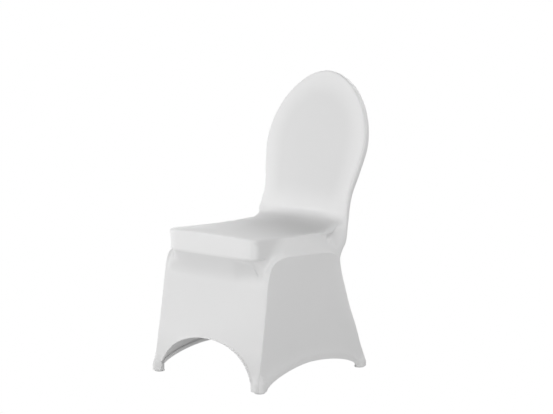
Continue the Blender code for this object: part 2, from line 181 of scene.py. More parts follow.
# The tables have y = 0 midway between the feet.  The cover is then moved so
# that the middle of its whole length comes to y = 0.
MOVED = (0.0, -0.0427, 0.0)
MIRROR = (-1.0, 1.0, 1.0)  # turns the right side into the left one

# Seams on the side at +X: x, y and z of their points

# Rim of the back, below its widest height, down to the waist of the rear leg
RIM_SEAM = [
    (0.1935, 0.2417, 0.6180),
    (0.1795, 0.2225, 0.5480),
    (0.1820, 0.2085, 0.5040),
    (0.1840, 0.1990, 0.4780),
    (0.1858, 0.1955, 0.4500),
    (0.1875, 0.1925, 0.4280),
    (0.1900, 0.1840, 0.4010),
    (0.1918, 0.1650, 0.3790),
    (0.1940, 0.1515, 0.3550),
]
# Seat rail from the waist to the front
RAIL_SEAM = [
    (0.2040, 0.1170, 0.3745),
    (0.2140, 0.0668, 0.3840),
    (0.2185, 0.0180, 0.3878),
    (0.2200, -0.0300, 0.3893),
    (0.2200, -0.0750, 0.3912),
    (0.2200, -0.0980, 0.3922),
    (0.2200, -0.1120, 0.3930),
    (0.2198, -0.1250, 0.3925),
    (0.2195, -0.1430, 0.3905),
    (0.2190, -0.1620, 0.3848),
    (0.2185, -0.1735, 0.3780),
    (0.2180, -0.1840, 0.3685),
]
# Front leg from the bend of the rail to its foot
FRONT_LEG_SEAM = [
    (0.2180, -0.1925, 0.3520),
    (0.2172, -0.2012, 0.3180),
    (0.2184, -0.2085, 0.2620),
    (0.2192, -0.2190, 0.1920),
    (0.2200, -0.2312, 0.1150),
    (0.2210, -0.2430, 0.0450),
    (0.2245, -0.2481, 0.0060),
]
# Rear leg from the waist to its foot
REAR_LEG_SEAM = [
    (0.1985, 0.1582, 0.3070),
    (0.2045, 0.1705, 0.2520),
    (0.2105, 0.1838, 0.1980),
    (0.2188, 0.2055, 0.1310),
    (0.2235, 0.2200, 0.0810),
    (0.2277, 0.2380, 0.0320),
    (0.2283, 0.2415, 0.0060),
]

# A section runs from mid, on the middle plane x = 0, to a corner, and from
# there to the seam.
#   corner  the sharp corner that it would turn without rounding
#   turn    how far from the corner the rounding starts
#   arch    0 for a plain crowned span from middle to corner, 1 for a hem arch
#   swell   how far the tube next to the seam pushes the cloth out
Section = namedtuple(
    "Section", "mid_y mid_z corner_x corner_y corner_z turn arch swell", defaults=(0.0, 0.0)
)

CENTRE_SECTIONS = [Section(*row) for row in (
    # back, below its widest height
    (0.2280, 0.6200, 0.1935, 0.2340, 0.6200, 0.009),
    (0.2090, 0.5500, 0.1795, 0.2150, 0.5500, 0.009),
    (0.1965, 0.5020, 0.1820, 0.2020, 0.5040, 0.009),
    # hollow between back and seat
    (0.1930, 0.4870, 0.1815, 0.1950, 0.4800, 0.007),
    (0.1800, 0.4765, 0.1780, 0.1850, 0.4640, 0.012),
    (0.1560, 0.4690, 0.1770, 0.1600, 0.4548, 0.006),
    # seat
    (0.1120, 0.4675, 0.1845, 0.1180, 0.4450, 0.005),
    (0.0700, 0.4675, 0.1932, 0.0790, 0.4410, 0.005),
    (0.0300, 0.4675, 0.1940, 0.0360, 0.4400, 0.005),
    (-0.0150, 0.4675, 0.1940, -0.0080, 0.4410, 0.005),
    (-0.0650, 0.4675, 0.1940, -0.0580, 0.4432, 0.005),
    (-0.1150, 0.4675, 0.1940, -0.1080, 0.4457, 0.006),
    (-0.1700, 0.4665, 0.1940, -0.1600, 0.4487, 0.007),
    (-0.2120, 0.4625, 0.1940, -0.2050, 0.4510, 0.014),
    # front edge of the seat, and the band below it
    (-0.2260, 0.4567, 0.1940, -0.2240, 0.4515, 0.018),
    (-0.2302, 0.4537, 0.1940, -0.2295, 0.4490, 0.020),
    (-0.2312, 0.4470, 0.1940, -0.2312, 0.4435, 0.020),
    (-0.2312, 0.4200, 0.1940, -0.2312, 0.4190, 0.020),
    (-0.2312, 0.3950, 0.1940, -0.2312, 0.3945, 0.020),
    (-0.2295, 0.3870, 0.1930, -0.2290, 0.3860, 0.020),
    (-0.2237, 0.3760, 0.1920, -0.2230, 0.3740, 0.016),
    # front of the skirt, down to the hem
    (-0.2157, 0.3600, 0.1950, -0.2150, 0.3560, 0.014),
    (-0.2044, 0.3300, 0.1935, -0.2080, 0.3250, 0.012),
    (-0.2045, 0.2900, 0.1940, -0.2090, 0.2650, 0.012),
    (-0.2112, 0.2420, 0.1950, -0.2200, 0.1950, 0.012, 0.3),
    (-0.2190, 0.2020, 0.1945, -0.2320, 0.1200, 0.012, 0.6),
    (-0.2290, 0.1640, 0.1935, -0.2440, 0.0480, 0.010, 0.9),
    (-0.2355, 0.1355, 0.1930, -0.2495, 0.0060, 0.006, 1.0),
)]
EDGE_LOW, EDGE_HIGH = 0.355, 0.4605  # the rows are fine between these heights,
EDGE_BACK = -0.195  # in front of this
PINCH_FRONT, PINCH_BACK = 0.035, 0.175  # and between these, beside the back,
PINCH_LOW = 0.44  # above this height
# Sections, counted in the list above from 0
SIDES_FREE = 5  # from here down the cloth beside the seat settles,
FRONT_FREE = 16  # and from here its front too
SKIRT_TOP = 17

# Creases and folds that the cloth keeps at its corners, on the right, the left
# or both sides.  Each row is a point of a fold, written for the side at +X, the
# half width of the fold there, and how far it stands out of the cloth, less
# than 0 for a trough.
Fold = namedtuple("Fold", "side rows")
FOLDS = [
    # a small crease under the edge, beside the corner
    Fold("right", [
        (0.0800, -0.2300, 0.3830, 0.006, 0.0000),
        (0.1100, -0.2280, 0.3805, 0.007, 0.0018),
        (0.1400, -0.2245, 0.3765, 0.007, 0.0020),
        (0.1650, -0.2200, 0.3720, 0.007, 0.0000),
    ]),
    # a shallow hollow below it
    Fold("right", [
        (0.0900, -0.2140, 0.3450, 0.040, 0.0000),
        (0.1500, -0.2110, 0.3400, 0.040, -0.0070),
        (0.1980, -0.2080, 0.3350, 0.040, 0.0000),
    ]),
    # the elbow of the frame pushes the cloth out beside the seam
    Fold("right", [
        (0.2090, -0.1480, 0.3960, 0.009, 0.0000),
        (0.2090, -0.1640, 0.3890, 0.009, 0.0026),
        (0.2085, -0.1790, 0.3770, 0.009, 0.0036),
        (0.2080, -0.1900, 0.3600, 0.009, 0.0033),
        (0.2070, -0.1990, 0.3400, 0.009, 0.0018),
        (0.2060, -0.2060, 0.3150, 0.009, 0.0000),
    ]),
    # pinched in behind the corner of the cushion, beside the back
    Fold("both", [
        (0.1810, 0.1660, 0.4610, 0.014, 0.0000),
        (0.1840, 0.1500, 0.4500, 0.024, -0.0070),
        (0.1870, 0.1280, 0.4410, 0.026, -0.0120),
        (0.1915, 0.1080, 0.4300, 0.022, -0.0110),
        (0.1950, 0.0980, 0.4160, 0.014, -0.0040),
        (0.1980, 0.0940, 0.4050, 0.012, 0.0000),
    ]),
    # the cloth spans from the seat's edge to the back
    Fold("left", [
        (0.1950, 0.0300, 0.4560, 0.036, 0.0000),
        (0.1900, 0.1000, 0.4600, 0.036, 0.0070),
        (0.1850, 0.1450, 0.4660, 0.036, 0.0150),
        (0.1830, 0.1700, 0.4740, 0.034, 0.0110),
        (0.1800, 0.1950, 0.5000, 0.030, 0.0000),
    ]),
    # and drawn in over its whole height there
    Fold("both", [
        (0.1800, 0.1850, 0.4900, 0.025, 0.0000),
        (0.1850, 0.1550, 0.4500, 0.038, -0.0120),
        (0.1930, 0.1400, 0.4200, 0.038, -0.0120),
        (0.2000, 0.1280, 0.3900, 0.025, 0.0000),
    ]),
]
FOLD_STEPS = 4  # pieces that each span of a fold is cut into

# Behind the cushion's right front corner the cloth is drawn flat against the
# cushion's side, up to this slanting line, and then leaves it in a long ramp.
CLING_END = [  # height and y
    (0.335, -0.240),
    (0.351, -0.232),
    (0.387, -0.193),
    (0.423, -0.163),
    (0.445, -0.145),
]
CLING_RAMP = 0.060
CLING_GAP = 0.0007  # between the cloth and the cushion
CLING_EASE = 0.003  # how softly it bends there
CLING_SHADE_TOP = 0.46  # it gets painted shade below this height,
CLING_FADE = (0.340, 0.370)  # and fades out between these
CLING_SEAM = 0.022  # and within this of the seam

REAR_SECTIONS = [Section(*row) for row in (
    # back, below its widest height
    (0.2560, 0.6130, 0.1935, 0.2560, 0.6140, 0.009),
    (0.2350, 0.5440, 0.1795, 0.2355, 0.5440, 0.009),
    (0.2190, 0.4970, 0.1815, 0.2195, 0.4970, 0.009),
    (0.2125, 0.4710, 0.1838, 0.2125, 0.4710, 0.008),
    (0.2070, 0.4450, 0.1855, 0.2055, 0.4450, 0.007),
    (0.2030, 0.4250, 0.1868, 0.2000, 0.4250, 0.006),
    (0.2000, 0.4000, 0.1880, 0.1915, 0.4000, 0.005),
    (0.1960, 0.3780, 0.1885, 0.1750, 0.3780, 0.005),
    (0.1935, 0.3550, 0.1890, 0.1630, 0.3550, 0.005),
    # rear of the skirt, down to the hem
    (0.1925, 0.3100, 0.1920, 0.1675, 0.3050, 0.006, 0.0, 0.001),
    (0.1955, 0.2600, 0.1975, 0.1805, 0.2500, 0.006, 0.0, 0.001),
    (0.2025, 0.2050, 0.2025, 0.1955, 0.1950, 0.007, 0.2, 0.001),
    (0.2145, 0.1500, 0.2070, 0.2175, 0.1250, 0.008, 0.6, 0.002),
    (0.2225, 0.1200, 0.2050, 0.2325, 0.0700, 0.009, 0.8, 0.003),
    (0.2285, 0.1000, 0.1970, 0.2395, 0.0280, 0.008, 1.0, 0.004),
    (0.2305, 0.0900, 0.1945, 0.2435, 0.0060, 0.006, 1.0, 0.004),
)]

# Camera, placed in the same frame as the tables
CAMERA_PLACE = (3.147, -3.391, 1.098)
CAMERA_TURN = 0.7371  # round +Z from looking along +Y, in radians
CAMERA_PITCH = 0.12576  # downwards, in radians
CAMERA_LENS, CAMERA_SENSOR = 97.649, 36.0  # mm

# Lights: azimuth and elevation in degrees, and power in watts.  Azimuth 0 is
# the chair's front and 90 its side at +X.
LIGHTS = [
    (292.5, 8.0, 53.2),
    (180.0, 45.0, 35.6),
    (0.0, 8.0, 25.0),
    (202.5, 27.0, 23.1),
    (225.0, 27.0, 21.6),
    (30.0, 45.0, 18.8),
    (67.5, 8.0, 17.8),
    (112.5, 8.0, 14.3),
    (60.0, 65.0, 13.4),
    (180.0, 27.0, 7.2),
]
LIGHT_DISTANCE = 3.2
LIGHT_SIZE = 1.4
COVER_MIDDLE = (0.0, 0.0, 0.45)  # which every light looks at
FLOOR_GLOW = 0.533
WORLD_GLOW = 0.0
FLOOR_SIZE = 12.0
FLOOR_Z = -0.001
WAVE_PERIOD = 0.314  # a wave texture of scale 1 repeats after this many metres


def unit(vectors):
    """The given row vectors, each scaled to length 1."""
    return vectors / np.maximum(np.linalg.norm(vectors, axis=-1, keepdims=True), 1e-9)


def ease(values, start, end):
    """Eases from 0 where the values reach start to 1 where they reach end."""
    share = np.clip((values - start) / (end - start), 0.0, 1.0)
    return share**2 * (3 - 2 * share)


def gaps(points, axis=0):
    """Distances between neighbours along an axis of an array of points."""
    return np.linalg.norm(np.diff(points, axis=axis), axis=-1)


def lengths_along(points):
    """Length along a polyline at each of its points."""
    return np.concatenate([[0.0], np.cumsum(gaps(points))])


def length_share(points):
    """Each point's share of the length of its polyline, from 0 to 1."""
    lengths = lengths_along(points)
    return lengths / lengths[-1]


def looked_up(wanted, places, rows):
    """Rows of numbers, known at the places, as they are at the wanted places."""
    return np.stack([np.interp(wanted, places, column) for column in rows.T], axis=-1)


def smooth_rows(rows, steps, places):
    """Cubic curve through rows of numbers, each span cut into its number of steps.

    The first columns, as many as places says, are positions that pace the curve.
    """
    rows = np.asarray(rows, float)
    spans = np.sqrt(gaps(rows[:, :places]))[:, None]
    slopes = np.diff(rows, axis=0) / spans
    before, after = spans[:-1], spans[1:]
    tangents = np.empty_like(rows)
    tangents[1:-1] = (slopes[:-1] * after + slopes[1:] * before) / (before + after)
    tangents[0] = 1.5 * slopes[0] - 0.5 * tangents[1]
    tangents[-1] = 1.5 * slopes[-1] - 0.5 * tangents[-2]
    result = [rows[:1]]
    for index, count in enumerate(steps):
        t = np.arange(1, count + 1)[:, None] / count
        result.append(
            (2 * t**3 - 3 * t**2 + 1) * rows[index]
            + (t**3 - 2 * t**2 + t) * spans[index] * tangents[index]
            + (3 * t**2 - 2 * t**3) * rows[index + 1]
            + (t**3 - t**2) * spans[index] * tangents[index + 1]
        )
    return np.concatenate(result)


def face_point(x, z, behind):
    """A point of the leaning back, so far behind its front face."""
    shift = behind / math.hypot(1.0, BACK_LEAN)
    return x, BACK_FACE_Y + BACK_LEAN * z + shift, z - BACK_LEAN * shift


def oval_point(turn):
    """Half width and height of the oval, from its top (0) to its widest height (1)."""
    angle = math.pi / 2 * (1 - turn)
    power = 2 / OVAL_POWER
    across = BACK_HALF_WIDTH * max(math.cos(angle), 0.0) ** power
    up = (BACK_TOP - BACK_WIDEST) * math.sin(angle) ** power
    return across, BACK_WIDEST + up


def head_points(behind):
    """Points round the top of the oval's rim, so far behind its front face."""
    turns = [step / HEAD_TURNS for step in range(HEAD_TURNS + 1)]
    return [face_point(*oval_point(turn), behind) for turn in turns]


def head_sections(middle_behind, corner_behind):
    """Sections fanned from the middle of the oval to its rim, from the top down."""
    _, mid_y, mid_z = face_point(0.0, BACK_WIDEST, middle_behind)
    corners = head_points(corner_behind)
    return [Section(mid_y, mid_z, *corner, RIM_TURN) for corner in corners]


def row_steps(sections, seam):
    """How many rows each span between two sections needs."""
    table = np.array(sections)
    corners = table[:, 2:5]
    lengths = [gaps(line) for line in (table[:, :2], corners, seam)]
    _, y, z = ((corners[1:] + corners[:-1]) / 2).T
    fine = (y < EDGE_BACK) & (z > EDGE_LOW) & (z < EDGE_HIGH)
    fine |= (y > PINCH_FRONT) & (y < PINCH_BACK) & (z > PINCH_LOW)
    pitch = np.where(fine, FINE_PITCH, PITCH)
    return np.maximum(1, np.ceil(np.max(lengths, axis=0) / pitch)).astype(int)


def section_points(section, seam, side_steps):
    """One row of a panel: its span, its rounded turn and its side up to the seam."""
    middle = np.array([0.0, section.mid_y, section.mid_z])
    corner = np.array([section.corner_x, section.corner_y, section.corner_z])
    angles = np.linspace(0.0, math.pi / 2, SPAN_STEPS + 1)
    across = np.sin(angles) ** (2 / ARCH_POWER)
    arched = 1.0 - np.cos(angles) ** (2 / ARCH_POWER)
    drop = section.arch * arched + (1.0 - section.arch) * across**2
    span = middle + np.outer(drop, corner - middle)
    span[:, 0] = across * section.corner_x

    side_length = math.dist(seam, corner)
    turn = min(section.turn, side_length * LONGEST_TURN)
    lengths = lengths_along(span)
    span = looked_up(lengths * (1.0 - turn / lengths[-1]), lengths, span)
    turn_end = corner + (seam - corner) * turn / side_length
    t = np.arange(1, TURN_STEPS + 1)[:, None] / TURN_STEPS
    rounding = (1 - t) ** 2 * span[-1] + 2 * t * (1 - t) * corner + t**2 * turn_end
    t = np.arange(1, side_steps + 1)[:, None] / side_steps
    return np.concatenate([span, rounding, turn_end + (seam - turn_end) * t])


def clear_cups(points):
    """Draw the given points smoothly round the cups, where the cloth passes a foot."""
    for cup in CUPS.values():
        centre = np.array([cup.x, cup.y])
        away = points[..., :2] - centre
        distance = np.linalg.norm(away, axis=-1)
        over = np.maximum(points[..., 2] - cup.height, 0.0)
        wanted = np.maximum(CUP_CLEARANCE - CUP_TAPER * over, 0.0)
        eased = (distance**CUP_EASE + wanted**CUP_EASE) ** (1 / CUP_EASE)
        points[..., :2] = centre + away * (eased / distance)[..., None]


def outward_of(grid):
    """Unit normals of a grid whose columns run to +X and whose rows run down its front."""
    return unit(np.cross(np.gradient(grid, axis=0), np.gradient(grid, axis=1)))


def from_seam(grid, column=-1):
    """Distance of each point of a half grid to its row's point on the seam."""
    return np.linalg.norm(grid - grid[:, [column]], axis=2)


def panel_grid(sections, seam_rows, steps, side_steps, outside):
    """All rows of a half panel, from its top to its hem, as a grid of points."""
    dense = [Section(*row) for row in smooth_rows(sections, steps, 5)]
    pole = sections[0]
    for row in range(sum(steps[:HEAD_TURNS])):
        dense[row] = dense[row]._replace(mid_y=pole.mid_y, mid_z=pole.mid_z)
    grid = np.array([section_points(*row, side_steps) for row in zip(dense, seam_rows)])
    outward = outside * outward_of(grid)
    start, last = SPAN_STEPS + TURN_STEPS - 1, grid.shape[1] - 1
    t = np.arange(last - start) / (last - start)
    rise = np.outer([section.swell for section in dense], np.sin(math.pi * t)) * t
    grid[:, start:last] += outward[:, start:last] * rise[..., None]
    return grid


def rounded(a, b, radius):
    """Distance to an edge of that radius, from the distances to its two faces."""
    a, b = a + radius, b + radius
    return np.hypot(np.maximum(a, 0), np.maximum(b, 0)) + np.minimum(np.maximum(a, b), 0) - radius


def plan_distance(points, corner):
    """Distance of points to the outline of the cushion seen from above, negative inside it."""
    middle = (CUSHION_FRONT + CUSHION_REAR) / 2
    radius = np.where(points[..., 1] > middle, CUSHION_REAR_CORNER, corner)
    x = np.abs(points[..., 0]) - CUSHION_HALF_WIDTH
    y = np.abs(points[..., 1] - middle) - (CUSHION_REAR - CUSHION_FRONT) / 2
    return rounded(x, y, radius)


def cushion_distance(points):
    """Distance of points to the cushion, negative inside it."""
    z = np.abs(points[..., 2] - (CUSHION_LOW + CUSHION_HIGH) / 2)
    z = z - (CUSHION_HIGH - CUSHION_LOW) / 2
    return rounded(plan_distance(points, CUSHION_CORNER), z, CUSHION_EDGE)


def straight_away(distance, points):
    """Directions in which a distance grows fastest at the points."""
    here = distance(points)
    slope = [distance(points + NUDGE * step) - here for step in np.eye(3)]
    return unit(np.stack(slope, axis=-1))


def with_round_corner(grid):
    """The half grid with the rounder front corner of the other side of the cushion."""
    share = ease(grid[..., 2], CORNER_LOW, CORNER_HIGH)
    columns = grid.shape[1]
    seam_share = np.clip((columns - 1 - np.arange(columns)) / FRONT_SIDE_STEPS, 0, 1)
    outside = plan_distance(grid, LEFT_CORNER) - plan_distance(grid, CUSHION_CORNER)
    away = straight_away(lambda points: plan_distance(points, LEFT_CORNER), grid)
    return grid - away * (outside * share * seam_share)[..., None]


def cling_share(grid):
    """How far each point of the half grid belongs to the cushion's side, behind its corner."""
    z = grid[..., 2]
    heights, ends = np.array(CLING_END).T
    ramp = 1.0 - ease(grid[..., 1] - np.interp(z, heights, ends), 0.0, CLING_RAMP)
    return ramp * ease(z, *CLING_FADE) * ease(from_seam(grid), 0.0, CLING_SEAM)


def clinging(grid):
    """The half grid drawn against the cushion's side behind its right front corner."""
    excess = grid[..., 0] - CUSHION_HALF_WIDTH - CLING_GAP
    excess = 0.5 * (excess + np.sqrt(excess**2 + CLING_EASE**2))
    moved = grid.copy()
    moved[..., 0] -= cling_share(grid) * excess
    return moved


def under_edge(grid):
    """The half grid with an even slope inwards, easing out, below the cushion's lower edge."""
    moved = grid.copy()
    shares = ease(from_seam(grid), 0.0, UNDER_SEAM)
    for j in range(grid.shape[1] - 1):
        column = grid[:, j]
        front = np.flatnonzero(column[:, 2] > UNDER_HIGH)[-1]
        below = column[front:]
        high, low = looked_up([-UNDER_HIGH, -UNDER_LOW], -below[:, 2], below[:, :2])
        t = (UNDER_HIGH - column[:, 2]) / (UNDER_HIGH - UNDER_LOW)
        rows = (t > 0) & (t < 1) & (np.arange(len(t)) > front)
        wanted = high + (1 - (1 - t[rows, None]) ** UNDER_EASE) * (low - high)
        moved[rows, j, :2] += shares[rows, j, None] * (wanted - column[rows, :2])
    return moved


def with_middle(grid, table, start):
    """The settled grid drawn in or out so that its middle follows the table again."""
    skirt = grid[start:]
    target = np.interp(-skirt[:, 0, 2], -table[:, 0, 2], table[:, 0, 1])
    share = np.clip(1 - (skirt[..., 0] / skirt[:, -1:, 0]) ** 2, 0, 1) ** 2
    share = share * np.clip((MIDDLE_FROM - skirt[:, :1, 2]) / MIDDLE_FADE, 0, 1)
    moved = grid.copy()
    moved[start:, :, 1] += (target - skirt[:, 0, 1])[:, None] * share
    return moved


def tube_path(seam):
    """Middle line of the frame's tube under a seam, which lies on its outer upper side."""
    along = unit(np.gradient(seam, axis=0))
    out = np.stack([np.zeros(len(seam)), -along[:, 2], along[:, 1]], axis=1)
    out = unit(out) * np.where(out[:, 1:2] - out[:, 2:3] > 0, -1.0, 1.0)
    turn = math.radians(TUBE_SEAM)
    return seam - TUBE * (math.cos(turn) * out + math.sin(turn) * np.array([1.0, 0.0, 0.0]))


def nearest_on(path, points):
    """Each point's distance to a path, its way from there, and the path's other columns there."""
    nearest = np.full(points.shape[:-1], np.inf)
    away = np.zeros_like(points)
    others = np.zeros(points.shape[:-1] + (path.shape[1] - 3,))
    for start, end in zip(path[:-1], path[1:]):
        run = end[:3] - start[:3]
        # sums, because a matrix product's last digit can change from run to run
        t = ((points - start[:3]) * run).sum(axis=-1, keepdims=True) / (run**2).sum()
        t = np.clip(t, 0.0, 1.0)
        gap = points - start[:3] - t * run
        length = np.linalg.norm(gap, axis=-1)
        closer = length < nearest
        nearest[closer] = length[closer]
        away[closer] = gap[closer]
        others[closer] = start[3:] + (end[3:] - start[3:]) * t[closer]
    return nearest, away, others


def out_of_tube(points, path):
    """Points moved out of the tube, straight away from its middle line."""
    distance, away, _ = nearest_on(path, points)
    inside = distance < TUBE
    moved = points.copy()
    moved[inside] += away[inside] * (TUBE / distance[inside] - 1.0)[:, None]
    return moved


def out_of_cushion(points):
    """Points moved out of the cushion, along its nearest face."""
    depth = cushion_distance(points)
    inside = depth < 0
    if not inside.any():
        return points
    found = points[inside]
    moved = points.copy()
    moved[inside] = found - straight_away(cushion_distance, found) * depth[inside][:, None]
    return moved


def means(values, axis):
    """The mean of each two neighbours along an axis."""
    values = values.swapaxes(0, axis)
    return ((values[1:] + values[:-1]) / 2).swapaxes(0, axis)


def pulls(grid, axis):
    """How hard each two neighbours along one axis of the grid pull on each other."""
    ends = ((0, 0), (1, 1)) if axis == 0 else ((1, 1), (0, 0))
    width = means(np.pad(gaps(grid, 1 - axis), ends, mode="edge"), 1 - axis)
    length = np.maximum(gaps(grid, axis), LEAST_LENGTH)
    level = gaps(grid[..., :2], axis) / length
    return (means(width, axis) / length * (1.0 + LEVEL_PULL * level**2))[..., None]


def settle(grid, free, tube):
    """Let the free cloth find its taut shape between its edges, the cushion and the rest."""
    down, across = pulls(grid, 0), pulls(grid, 1)
    total = np.zeros(grid.shape[:2] + (1,))
    total[1:] += down
    total[:-1] += down
    total[:, 1:] += across
    total[:, :-1] += across
    total[:, 0] += across[:, 0]
    weight = free[..., None]
    near_tube = free[:, SPAN_STEPS:-1] > 0
    before = grid
    haste = 1.0
    for number in range(SETTLE_ROUNDS):
        pulled = np.zeros_like(grid)
        pulled[1:] += down * grid[:-1]
        pulled[:-1] += down * grid[1:]
        pulled[:, 1:] += across * grid[:, :-1]
        pulled[:, :-1] += across * grid[:, 1:]
        pulled[:, 0] += across[:, 0] * grid[:, 1] * MIRROR
        eased = grid + weight * (pulled / total - grid)
        if number:
            haste = 1.0 / (1.0 - HASTE**2 / (2.0 if number == 1 else 4.0 / haste))
        before, grid = grid, before + np.where(weight > 0, haste, 1.0) * (eased - before)
        grid = out_of_cushion(grid)
        near = grid[:, SPAN_STEPS:-1]
        near[near_tube] = out_of_tube(near[near_tube], tube)
    return grid


def folded(grid, outward, side):
    """The half grid with that side's folds raised or sunk along its outward direction."""
    rise = np.zeros(grid.shape[:2])
    for fold in FOLDS:
        if fold.side in (side, "both"):
            path = smooth_rows(fold.rows, [FOLD_STEPS] * (len(fold.rows) - 1), 3)
            distance, _, others = nearest_on(path, grid)
            half_width, height = others[..., 0], others[..., 1]
            rise += height * np.clip(1 - (distance / half_width) ** 2, 0, 1) ** 2
    return grid + outward * rise[..., None]


def side_hem(front_foot, rear_foot, columns):
    """Hem of the skirt's side between its two feet, with its low arch."""
    even = np.linspace(0.0, 1.0, columns)
    crowded = (1.0 - np.cos(math.pi * even)) / 2
    paced = SIDE_HEM_EVEN * even + (1.0 - SIDE_HEM_EVEN) * crowded
    x, y, _ = (front_foot + (rear_foot - front_foot) * paced[:, None]).T
    offset = y - SIDE_ARCH_MIDDLE
    half = np.where(offset < 0, SIDE_ARCH_FRONT, SIDE_ARCH_REAR)
    power = np.where(offset < 0, SIDE_ARCH_FRONT_POWER, SIDE_ARCH_POWER)
    rise = SIDE_ARCH_RISE * (1.0 - np.minimum(np.abs(offset) / half, 1.0) ** power) ** (1 / power)
    hem = np.stack([x, y, HEM_AT_FOOT + rise], axis=1)
    hem[0], hem[-1] = front_foot, rear_foot
    return hem


def side_grid(rail, front_leg, rear_leg):
    """Side of the skirt at +X, inside its frame of rail, legs and hem arch."""
    top = rail[::-1]
    hem = side_hem(front_leg[-1], rear_leg[-1], len(top))
    down = np.linspace(0.0, 1.0, len(front_leg))[:, None]
    back = np.linspace(0.0, 1.0, len(top))[None]
    u = ((1 - down) * length_share(top) + down * length_share(hem))[..., None]
    front_share, rear_share = length_share(front_leg)[:, None], length_share(rear_leg)[:, None]
    v = ((1 - back) * front_share + back * rear_share)[..., None]
    between_ends = (1 - u) * front_leg[:, None] + u * rear_leg[:, None]
    between_edges = (1 - v) * top[None] + v * hem[None]
    upper = (1 - u) * top[0] + u * top[-1]
    lower = (1 - u) * hem[0] + u * hem[-1]
    grid = between_ends + between_edges - (1 - v) * upper - v * lower
    drawn_in = np.sin(math.pi * u[..., 0]) ** 2 * np.sin(math.pi / 2 * v[..., 0])
    grid[:, :, 0] -= SIDE_DRAWN_IN * drawn_in
    clear_cups(grid[:, 1:-1])
    return grid


def turned_in(grid, inward):
    """The grid with its last column, on a seam, rounded over into the seam allowance."""
    edge, before = grid[:, -1], grid[:, -2]
    back = unit(before - edge)
    width = np.linalg.norm(before - edge, axis=1)
    columns = [grid[:, :-1]]
    for along, deep in SEAM_TURN:
        along = np.minimum(along, width * (SEAM_TURN_SHARE + SEAM_TURN_GAIN * along))
        columns.append((edge + back * along[:, None] + inward * deep)[:, None])
    return np.concatenate(columns, axis=1)


def hemmed(grid, outward):
    """The grid with a hem folded back inside along its last row."""
    edge = grid[-1]
    down = unit(edge - grid[-2])
    rows = [grid]
    for step in range(1, HEM_TURN_STEPS):
        angle = math.pi * step / HEM_TURN_STEPS
        out = outward[-1] * HEM_FOLD * (math.cos(angle) - 1)
        rows.append((edge + down * HEM_FOLD * math.sin(angle) + out)[None])
    depth = np.cumsum(gaps(grid[::-1]).max(axis=1))
    count = max(2, int(np.searchsorted(depth, HEM_WIDTH)) + 1)
    inside = grid - 2 * HEM_FOLD * outward
    rows.append(inside[: -2 - count : -1])
    return np.concatenate(rows)


def both_halves(left, right):
    """Two half grids joined in the middle plane, the left one mirrored."""
    return np.concatenate([left[:, :0:-1] * MIRROR, right], axis=1)


def grid_mesh(name, grid, flip, pattern, tone_and_shade):
    """An open surface through a grid of points, with coinciding points joined.

    Its UV map holds the pattern, each point's place in the flat cloth in metres, and its float
    attribute how much darker the cloth is drawn there: its own tone, painted shade and a painted
    highlight.
    """
    numbers = np.arange(tone_and_shade.size).reshape(tone_and_shade.shape)
    corners = [numbers[:-1, :-1], numbers[1:, :-1], numbers[1:, 1:], numbers[:-1, 1:]]
    faces = np.stack(corners[::-1] if flip else corners, axis=-1).reshape(-1, 4)
    mesh = bpy.data.meshes.new(name)
    mesh.from_pydata(grid.reshape(-1, 3), [], faces, shade_flat=False)
    tone_and_shade_layer = mesh.attributes.new("tone_and_shade", "FLOAT", "POINT")
    tone_and_shade_layer.data.foreach_set("value", tone_and_shade.ravel())
    layer = mesh.uv_layers.new(name="cloth")
    layer.uv.foreach_set("vector", pattern.reshape(-1, 2)[faces].ravel())
    shape = bmesh.new()
    shape.from_mesh(mesh)
    bmesh.ops.remove_doubles(shape, verts=shape.verts, dist=JOINED)
    shape.to_mesh(mesh)
    shape.free()
    return mesh


def pattern_of(grid, fanned=0):
    """Each point's place in the flat cloth, across from its middle and down.

    The fanned rows, round the top of the oval, keep one straight pattern.
    """
    middle = grid.shape[1] // 2
    u = np.pad(np.cumsum(gaps(grid, 1), axis=1), ((0, 0), (1, 0)))
    u = u - u[:, [middle]]
    v = -lengths_along(grid[:, middle])
    v = np.repeat((v - v[fanned])[:, None], grid.shape[1], axis=1)
    u[:fanned] = grid[:fanned, :, 0]
    v[:fanned] = (grid[:fanned, :, 2] - BACK_WIDEST) * math.hypot(1.0, BACK_LEAN)
    return np.stack([u, v], axis=2)


